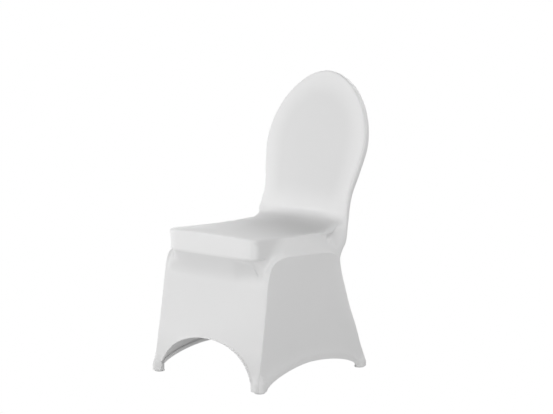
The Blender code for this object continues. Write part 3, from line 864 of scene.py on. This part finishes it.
def centre_tone_and_shade(grid):
    """How much darker each point of the centre panel is drawn, from 0 to 1: its own tone, painted
    shade and a painted highlight.
    """
    middle = grid.shape[1] // 2
    span = from_seam(grid, middle)
    share = span / span[:, [middle + SPAN_STEPS]]
    x, y, z = np.moveaxis(grid, -1, 0)
    level = z[:, [middle]]
    # darker in the middle of the back, lighter towards its rim
    back = ease(level, *BACK_FROM) * (1.0 - ease(share, *RIM_LIGHTER)) * (z > BACK_FROM[0])
    # painted shade on the seat, less at its sides and near its front edge
    seat = SEAT_SHADE * ease(level, *SEAT_FROM) * ease(level, *SEAT_EDGE)
    seat = seat * (1.0 - ease(share, *SEAT_SIDE))
    seat = seat * (SEAT_FRONT_SHADE + (1 - SEAT_FRONT_SHADE) * ease(y, *SEAT_BEHIND))
    # painted shade in full just below the cushion's edge, and darker near the feet
    fully = ease(z, *SKIRT_UNDER) + ease(z, *SKIRT_FEET)
    skirt = SKIRT_TONE + (FULLY_DARKER - SKIRT_TONE) * fully
    skirt = skirt * ease(z, *SKIRT_FROM) * ease(y, *SKIRT_FRONT)
    # a painted highlight: lighter beside the seams, above the lower skirt
    seam = from_seam(grid, -1 - ALLOWANCE_COLUMNS)
    skirt = skirt * np.maximum(ease(seam, *SKIRT_SEAM), ease(z, *SKIRT_SEAM_LOW))
    # painted shade on the cloth drawn against the cushion's side behind its corner
    side = cling_share(grid) * ease(x, *CLUNG_FROM) * (z < CLING_SHADE_TOP)
    return np.max([back, seat, skirt, side], axis=0)


def new_object(name, data):
    """An object in the scene for a mesh, a light or a camera."""
    thing = bpy.data.objects.new(name, data)
    bpy.context.scene.collection.objects.link(thing)
    return thing


def add_piece(name, mesh, material):
    """An object for a finished mesh, riding on the cover's one body."""
    mesh.name = name
    mesh.materials.clear()
    mesh.materials.append(material)
    thing = new_object(name, mesh)
    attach(thing, "root")
    return thing


def evaluated_mesh(thing):
    """The object's mesh with its modifiers applied; the object is deleted."""
    bpy.context.view_layer.update()
    evaluated = thing.evaluated_get(bpy.context.evaluated_depsgraph_get())
    mesh = bpy.data.meshes.new_from_object(evaluated)
    bpy.data.objects.remove(thing)
    return mesh


def needed_rows(grid, tone_and_shade):
    """Which rows the mesh needs: not each second one that is straight between its neighbours."""
    points = np.concatenate([grid, TONE_STEP_WORTH * tone_and_shade[..., None]], axis=2)
    before, between, after = points[:-2:2], points[1:-1:2], points[2::2]
    run = after - before
    squares = np.maximum((run**2).sum(axis=2), LEAST_LENGTH**2)
    t = ((between - before) * run).sum(axis=2) / squares
    bend = np.linalg.norm(between - before - t[..., None] * run, axis=2).max(axis=1)
    needed = np.full(len(grid), True)
    needed[1:-1:2] = bend >= SPARED
    return needed


def cloth_mesh(name, grid, flip, pattern, tone_and_shade, outside):
    """The closed mesh of a piece of cloth, thickened to its outer or inner side."""
    thing = new_object(name, grid_mesh(name, grid + MOVED, flip, pattern, tone_and_shade))
    solid = thing.modifiers.new("Cloth", "SOLIDIFY")
    solid.thickness = CLOTH
    solid.offset = outside
    return evaluated_mesh(thing)


def flat_cut(grid):
    """Size and area of the cloth that was cut for a panel, before it was stretched."""
    across, down = gaps(grid, 1).sum(axis=1).max(), gaps(grid).sum(axis=0).max()
    diagonals = grid[1:, 1:] - grid[:-1, :-1], grid[1:, :-1] - grid[:-1, 1:]
    area = np.linalg.norm(np.cross(*diagonals), axis=2).sum() / 2
    return (across * CUT_SHARE, down * CUT_SHARE), area * CUT_SHARE**2


def cup_grid(cup):
    """Cloth of a foot pocket, from the middle of its sole up its wall and over its rim."""
    sole_top = SOLE[-1][1]
    wall_heights = np.arange(sole_top + CUP_STEP, cup.height - CUP_STEP, CUP_STEP)
    turns = np.linspace(0.0, math.pi, HEM_TURN_STEPS + 1)
    rim = np.stack([CUP_RADIUS - CUP_FOLD * (1 - np.cos(turns)),
                    cup.height - CUP_FOLD * (1 - np.sin(turns))], axis=1)
    wall = [(CUP_RADIUS, z) for z in wall_heights]
    inside = [rim[-1] - (0.0, CUP_RIM * share) for share in CUP_RIM_SHARES]
    radius, height = np.concatenate([SOLE, wall, rim, inside]).T[..., None]
    angles = np.linspace(0.0, 2 * math.pi, CUP_COLUMNS + 1)
    drawn_in = CUP_GATHER_DEPTH * ease(height, sole_top, cup.height)
    radius = radius + drawn_in * np.cos(CUP_GATHERS * angles)
    height = np.repeat(height, len(angles), axis=1)
    x, y = cup.x + radius * np.cos(angles), cup.y + radius * np.sin(angles)
    grid = np.stack([x, y, height], axis=2)
    grid[:, -1] = grid[:, 0]
    return grid


def add_cups(material):
    """The four foot pockets."""
    for end, cup in CUPS.items():
        grid = cup_grid(cup)
        tone_and_shade = np.full(grid.shape[:2], SKIRT_TONE)
        size, area = flat_cut(grid)
        for side, hand in (("right", 1.0), ("left", -1.0)):
            name = f"pocket_cloth_{end}_{side}"
            turned = grid * (hand, 1.0, 1.0)
            mesh = cloth_mesh(name, turned, hand > 0, pattern_of(grid), tone_and_shade, -1.0)
            piece = add_piece(name, mesh, material)
            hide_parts(f"foot_pocket_{end}_{side}")


def colour(hex_code):
    """An sRGB hex colour as linear RGBA."""
    channels = [int(hex_code[i : i + 2], 16) / 255 for i in (1, 3, 5)]
    linear = [c / 12.92 if c <= 0.04045 else ((c + 0.055) / 1.055) ** 2.4 for c in channels]
    return (*linear, 1.0)


def add_node(tree, kind, links=None, values=None, **settings):
    """Add a node with its settings, its own values and the sockets that feed it."""
    node = tree.nodes.new(kind)
    for name, value in settings.items():
        setattr(node, name, value)
    for name, value in (values or {}).items():
        node.inputs[name].default_value = value
    for name, source in (links or {}).items():
        tree.links.new(source, node.inputs[name])
    return node


def new_material(name, values):
    """A material with its node tree and its shader, whose sockets have the given values."""
    material = bpy.data.materials.new(name)
    material.use_nodes = True
    shader = material.node_tree.nodes["Principled BSDF"]
    for socket, value in values.items():
        shader.inputs[socket].default_value = value
    return material, material.node_tree, shader


def cloth_material(name, unshaded, tone_and_shade, wale, course, relief, sheen):
    """White knitted cloth: fine ribs down and across it, and a tone from an attribute, partly its
    own tone, partly painted shade and highlight.

    wale and course are the spacings of its ribs down and across, and relief
    their height, in metres.
    """
    values = {"Roughness": 0.82, "Sheen Weight": sheen, "Sheen Roughness": 0.5}
    material, tree, shader = new_material(name, values)
    flat = add_node(tree, "ShaderNodeUVMap", uv_map="cloth")
    ribs = [
        add_node(
            tree, "ShaderNodeTexWave", {"Vector": flat.outputs["UV"]},
            {"Scale": WAVE_PERIOD / spacing, "Distortion": 0.0},
            wave_type="BANDS", bands_direction=direction,
        ).outputs["Fac"]
        for direction, spacing in (("X", wale), ("Y", course))
    ]
    knit = add_node(
        tree, "ShaderNodeMix", {"A": ribs[0], "B": ribs[1]}, {"Factor": 0.35}, data_type="FLOAT"
    )
    bump = add_node(
        tree, "ShaderNodeBump", {"Height": knit.outputs["Result"]},
        {"Strength": 1.0, "Distance": relief},
    )
    tree.links.new(bump.outputs["Normal"], shader.inputs["Normal"])

    # the attribute mixes the cloth's white towards its darker tone: its own tone, painted shade
    # and a painted highlight
    tone_and_shade_share = add_node(tree, "ShaderNodeAttribute", attribute_name="tone_and_shade")
    tone = add_node(
        tree, "ShaderNodeMix", {"Factor": tone_and_shade_share.outputs["Fac"]},
        {6: colour(unshaded), 7: colour(tone_and_shade)}, data_type="RGBA",
    )
    place = add_node(tree, "ShaderNodeTexCoord").outputs["Object"]
    cloud = add_node(
        tree, "ShaderNodeTexNoise", {"Vector": place}, {"Scale": 9.0, "Detail": 2.0}
    )
    level = add_node(
        tree, "ShaderNodeMapRange", {"Value": cloud.outputs["Fac"]},
        {"To Min": 0.990, "To Max": 1.010},
    )
    mottled = add_node(
        tree, "ShaderNodeVectorMath",
        {0: tone.outputs[2], "Scale": level.outputs["Result"]}, operation="SCALE",
    )
    tree.links.new(mottled.outputs["Vector"], shader.inputs["Base Color"])
    return material


def warp_knit_polyester_elastane():
    """Warp-knit polyester with elastane, bleached white: smooth, matt, with a faint sheen.

    Its real wales are 0.7 mm apart, too fine to show, so its ribs are drawn 1.6 mm apart.
    """
    return cloth_material(
        # the white, and the darkest tone, which carries painted shade
        "warp_knit_polyester_elastane", "#F3F3F3", "#E9E9E9",
        wale=0.0016, course=0.0020, relief=0.00006, sheen=0.10,
    )


def doubled_knit_polyester():
    """Two layers of firmer polyester knit, which take a foot: a little rougher than the cover.

    Its loops are 1 mm apart, drawn 1.8 mm apart.
    """
    return cloth_material(
        "doubled_knit_polyester", "#F0F0F0", "#E6E6E6",
        wale=0.0018, course=0.0018, relief=0.00010, sheen=0.05,
    )


def spun_polyester_thread():
    """White spun polyester sewing thread: matt, a little brighter than the cloth."""
    material, tree, shader = new_material("spun_polyester_thread", {"Roughness": 0.65})
    place = add_node(tree, "ShaderNodeTexCoord").outputs["Object"]
    twist = add_node(
        tree, "ShaderNodeTexNoise", {"Vector": place}, {"Scale": 900.0, "Detail": 1.0}
    )
    shade = add_node(
        tree, "ShaderNodeMix", {"Factor": twist.outputs["Fac"]},
        {6: colour("#F4F4F4"), 7: colour("#E4E4E4")}, data_type="RGBA",
    )
    tree.links.new(shade.outputs[2], shader.inputs["Base Color"])
    return material


def stitch_tree():
    """Node tree that sets stitches along lines, flat on the cloth."""
    tree = bpy.data.node_groups.new("twin_needle_stitches", "GeometryNodeTree")
    for name, way, kind in (
        ("Lines", "INPUT", "Geometry"),
        ("Stitch spacing", "INPUT", "Float"),
        ("Stitch length", "INPUT", "Float"),
        ("Thread width", "INPUT", "Float"),
        ("Thread", "INPUT", "Material"),
        ("Stitches", "OUTPUT", "Geometry"),
    ):
        tree.interface.new_socket(name, in_out=way, socket_type="NodeSocket" + kind)

    given = add_node(tree, "NodeGroupInput").outputs
    curve = add_node(tree, "GeometryNodeMeshToCurve", {"Mesh": given["Lines"]})
    spaced = add_node(
        tree, "GeometryNodeResampleCurve",
        {"Curve": curve.outputs["Curve"], "Length": given["Stitch spacing"]}, mode="LENGTH",
    )
    tangent = add_node(tree, "GeometryNodeInputTangent")
    outward = add_node(
        tree, "GeometryNodeInputNamedAttribute", values={"Name": "outward"},
        data_type="FLOAT_VECTOR",
    )
    along = add_node(
        tree, "FunctionNodeAlignRotationToVector", {"Vector": tangent.outputs["Tangent"]}, axis="X"
    )
    flat = add_node(
        tree, "FunctionNodeAlignRotationToVector",
        {"Rotation": along.outputs["Rotation"], "Vector": outward.outputs["Attribute"]},
        axis="Z", pivot_axis="X",
    )
    width = given["Thread width"]
    size = add_node(
        tree, "ShaderNodeCombineXYZ", {"X": given["Stitch length"], "Y": width, "Z": width}
    )
    ball = add_node(
        tree, "GeometryNodeMeshIcoSphere", values={"Radius": 0.5, "Subdivisions": 1}
    )
    placed = add_node(
        tree, "GeometryNodeInstanceOnPoints",
        {"Points": spaced.outputs["Curve"], "Instance": ball.outputs["Mesh"],
         "Rotation": flat.outputs["Rotation"], "Scale": size.outputs["Vector"]},
    )
    real = add_node(
        tree, "GeometryNodeRealizeInstances", {"Geometry": placed.outputs["Instances"]}
    )
    coloured = add_node(
        tree, "GeometryNodeSetMaterial",
        {"Geometry": real.outputs["Geometry"], "Material": given["Thread"]},
    )
    add_node(tree, "NodeGroupOutput", {"Stitches": coloured.outputs["Geometry"]})
    return tree


def hem_lines(grid, outward, rows):
    """Lines of the hem's stitches on a panel's outer side, and the outward directions there."""
    for above in STITCH_ROWS:
        points, directions = [], []
        for j in range(ALLOWANCE_COLUMNS, grid.shape[1] - ALLOWANCE_COLUMNS):
            column = grid[rows - 1 :: -1, j]
            lengths = lengths_along(column)
            points.append(looked_up(above, lengths, column))
            directions.append(looked_up(above, lengths, outward[rows - 1 :: -1, j]))
        directions = unit(np.array(directions))
        yield np.array(points) + directions * (CLOTH + THREAD_WIDTH * THREAD_RISE), directions


def add_stitches(name, lines, tree, material):
    """Rows of stitches along the lines, as one piece."""
    vertices, edges, directions = [], [], []
    for points, outward in lines:
        first = len(vertices)
        vertices.extend(points + MOVED)
        directions.extend(outward)
        edges.extend((k, k + 1) for k in range(first, len(vertices) - 1))
    mesh = bpy.data.meshes.new(name + "_lines")
    mesh.from_pydata(vertices, edges, [])
    outward = mesh.attributes.new("outward", "FLOAT_VECTOR", "POINT")
    outward.data.foreach_set("vector", np.array(directions).ravel())
    thing = new_object(name + "_lines", mesh)
    modifier = thing.modifiers.new("Stitches", "NODES")
    modifier.node_group = tree
    values = {
        "Stitch spacing": STITCH_SPACING,
        "Stitch length": STITCH_LENGTH,
        "Thread width": THREAD_WIDTH,
        "Thread": material,
    }
    for socket in tree.interface.items_tree:
        if socket.name in values:
            modifier[socket.identifier] = values[socket.name]
    return add_piece(name, evaluated_mesh(thing), material)


def dressed_halves(centre, steps, rail_and_leg):
    """The left and right half of the centre panel, settled on the cushion, with their folds."""
    listed = np.cumsum(steps)[HEAD_TURNS:]
    free = np.zeros(centre.shape[:2])
    free[listed[SIDES_FREE] :, SPAN_STEPS + TURN_STEPS :] = 1.0
    free[listed[FRONT_FREE] :] = 1.0
    free[:, -1] = 0.0
    free[-1] = 0.0
    settled = settle(centre, free, tube_path(rail_and_leg[::TUBE_EVERY]))
    settled = under_edge(with_middle(settled, centre, listed[SKIRT_TOP]))
    halves = []
    for side in ("left", "right"):
        half = clinging(settled) if side == "right" else settled
        half = folded(half, outward_of(half), side)
        half[:, :-1] = out_of_cushion(half[:, :-1])
        clear_cups(half[:, :-1])
        half[:, -1] = settled[:, -1]
        halves.append(with_round_corner(half) if side == "left" else half)
    return halves


def build_cover(material, thread):
    """The four panels and the stitches of their hems."""
    centre_sections = head_sections(-BACK_CROWN, 0.0) + CENTRE_SECTIONS
    rear_sections = head_sections(BACK_THICKNESS, BACK_THICKNESS) + REAR_SECTIONS
    rim = head_points(RIM_DEPTH) + RIM_SEAM
    spans, leg_spans = len(rim) - 1, len(FRONT_LEG_SEAM)
    centre_steps = row_steps(centre_sections, rim + RAIL_SEAM + FRONT_LEG_SEAM)
    rear_steps = row_steps(rear_sections, rim + REAR_LEG_SEAM)
    rim_steps = np.maximum(centre_steps[:spans], rear_steps[:spans])
    rail_steps = centre_steps[spans:-leg_spans]
    leg_steps = np.maximum(centre_steps[-leg_spans:], rear_steps[-leg_spans:])

    rim_line = smooth_rows(rim, rim_steps, 3)
    front_steps = np.concatenate([rail_steps, leg_steps])
    rail_and_leg = smooth_rows(rim[-1:] + RAIL_SEAM + FRONT_LEG_SEAM, front_steps, 3)
    rear_leg_line = smooth_rows(rim[-1:] + REAR_LEG_SEAM, leg_steps, 3)
    clear_cups(rail_and_leg)
    clear_cups(rear_leg_line)

    steps = np.concatenate([rim_steps, front_steps])
    seam = np.concatenate([rim_line, rail_and_leg[1:]])
    centre = panel_grid(centre_sections, seam, steps, FRONT_SIDE_STEPS, 1.0)
    left, right = dressed_halves(centre, steps, rail_and_leg)
    steps = np.concatenate([rim_steps, leg_steps])
    seam = np.concatenate([rim_line, rear_leg_line[1:]])
    rear = panel_grid(rear_sections, seam, steps, REAR_SIDE_STEPS, -1.0)
    clear_cups(rear[:, :-1])
    corner = sum(rail_steps)
    side = side_grid(rail_and_leg[: corner + 1], rail_and_leg[corner:], rear_leg_line)

    # each seam's allowances turn in between the outward directions of its two panels
    rims, legs = len(rim_line), len(rear_leg_line)
    centre_out, rear_out = outward_of(right)[:, -1], -outward_of(rear)[:, -1]
    side_out = outward_of(side)
    rim_in = -unit(centre_out[:rims] + rear_out[:rims])
    rail_in = -unit(centre_out[rims - 1 : -legs + 1] + side_out[0, ::-1])
    front_in = -unit(centre_out[-legs:] + side_out[:, 0])
    rear_leg_in = -unit(rear_out[-legs:] + side_out[:, -1])
    centre_in = np.concatenate([rim_in, rail_in[1:], front_in[1:]])
    rear = turned_in(rear, np.concatenate([rim_in, rear_leg_in[1:]]))
    side = turned_in(side, rear_leg_in)
    side = turned_in(side[:, ::-1], front_in)[:, ::-1]
    allowances = ((ALLOWANCE_COLUMNS, ALLOWANCE_COLUMNS), (0, 0))
    top_in = np.pad(rail_in[::-1], allowances, mode="edge")
    side = turned_in(side[::-1].transpose(1, 0, 2), top_in).transpose(1, 0, 2)[::-1]
    left, right = turned_in(left, centre_in), turned_in(right, centre_in)

    centre_rows, rear_rows, side_rows = len(centre), len(rear), len(side)
    centre = both_halves(hemmed(left, outward_of(left)), hemmed(right, outward_of(right)))
    rear = hemmed(rear, -outward_of(rear))
    rear = both_halves(rear, rear)
    side = hemmed(side, outward_of(side))

    tree = stitch_tree()
    fanned = sum(rim_steps[:HEAD_TURNS])
    for part, hand, grid, flip, rows, fanned_rows in (
        ("centre", "", centre, False, centre_rows, fanned),
        ("rear", "", rear, True, rear_rows, fanned),
        ("side", "_right", side, False, side_rows, 0),
        ("side", "_left", side * MIRROR, True, side_rows, 0),
    ):
        name = f"{part}_cloth{hand}"
        pattern, tone_and_shade = pattern_of(grid, fanned_rows), np.full(grid.shape[:2], SKIRT_TONE)
        needed = slice(None)
        if part == "centre":
            # the centre panel's tone carries painted shade and a painted highlight
            tone_and_shade = centre_tone_and_shade(grid)
            needed = needed_rows(grid, tone_and_shade)
        mesh = cloth_mesh(name, grid[needed], flip, pattern[needed], tone_and_shade[needed], 1.0)
        piece = add_piece(name, mesh, material)
        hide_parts(f"{part}_panel{hand}")
        lines = hem_lines(grid, outward_of(grid) * (-1.0 if flip else 1.0), rows)
        stitches = add_stitches(f"{part}{hand}_stitches", lines, tree, thread)
        size, area = flat_cut(grid)


def add_camera():
    """The camera, level with the seat and to the right of the chair's front."""
    data = bpy.data.cameras.new("camera")
    data.sensor_width = CAMERA_SENSOR
    data.lens = CAMERA_LENS
    camera = new_object("camera", data)
    camera.location = Vector(CAMERA_PLACE) + Vector(MOVED)
    camera.rotation_euler = (math.pi / 2 - CAMERA_PITCH, 0.0, CAMERA_TURN)
    bpy.context.scene.camera = camera


def add_area_light(azimuth, elevation, power):
    """A square soft light that looks at the middle of the cover."""
    name = f"light_{azimuth}_{elevation}"
    data = bpy.data.lights.new(name, "AREA")
    data.shape = "SQUARE"
    data.size = LIGHT_SIZE
    data.energy = power
    light = new_object(name, data)
    a, e = math.radians(azimuth), math.radians(elevation)
    away = Vector((math.sin(a) * math.cos(e), -math.cos(a) * math.cos(e), math.sin(e)))
    light.location = Vector(COVER_MIDDLE) + away * LIGHT_DISTANCE
    light.rotation_euler = away.to_track_quat("Z", "Y").to_euler()
    light.visible_camera = False


def glow_strength(tree, socket, glow):
    """White to the camera, and a softer glow to everything that it lights."""
    path = add_node(tree, "ShaderNodeLightPath")
    level = add_node(
        tree, "ShaderNodeMapRange", {"Value": path.outputs["Is Camera Ray"]},
        {"To Min": glow, "To Max": 1.0},
    )
    tree.links.new(level.outputs["Result"], socket)


def add_studio():
    """White room: a glowing floor and backdrop, and soft lights round the cover."""
    world = bpy.data.worlds.new("studio")
    bpy.context.scene.world = world
    world.use_nodes = True
    background = world.node_tree.nodes["Background"]
    background.inputs["Color"].default_value = (1.0, 1.0, 1.0, 1.0)
    glow_strength(world.node_tree, background.inputs["Strength"], WORLD_GLOW)

    half = FLOOR_SIZE / 2
    corners = [(-half, -half), (half, -half), (half, half), (-half, half)]
    mesh = bpy.data.meshes.new("floor")
    mesh.from_pydata([(x, y, FLOOR_Z) for x, y in corners], [], [(0, 1, 2, 3)])
    material = bpy.data.materials.new("white_floor")
    material.use_nodes = True
    tree = material.node_tree
    tree.nodes.clear()
    glow = add_node(tree, "ShaderNodeEmission")
    glow_strength(tree, glow.inputs["Strength"], FLOOR_GLOW)
    add_node(tree, "ShaderNodeOutputMaterial", {"Surface": glow.outputs["Emission"]})
    mesh.materials.append(material)
    new_object("floor", mesh)

    for light in LIGHTS:
        add_area_light(*light)


build_cover(warp_knit_polyester_elastane(), spun_polyester_thread())
add_cups(doubled_knit_polyester())
add_camera()
add_studio()
bpy.context.scene.view_settings.view_transform = "Standard"
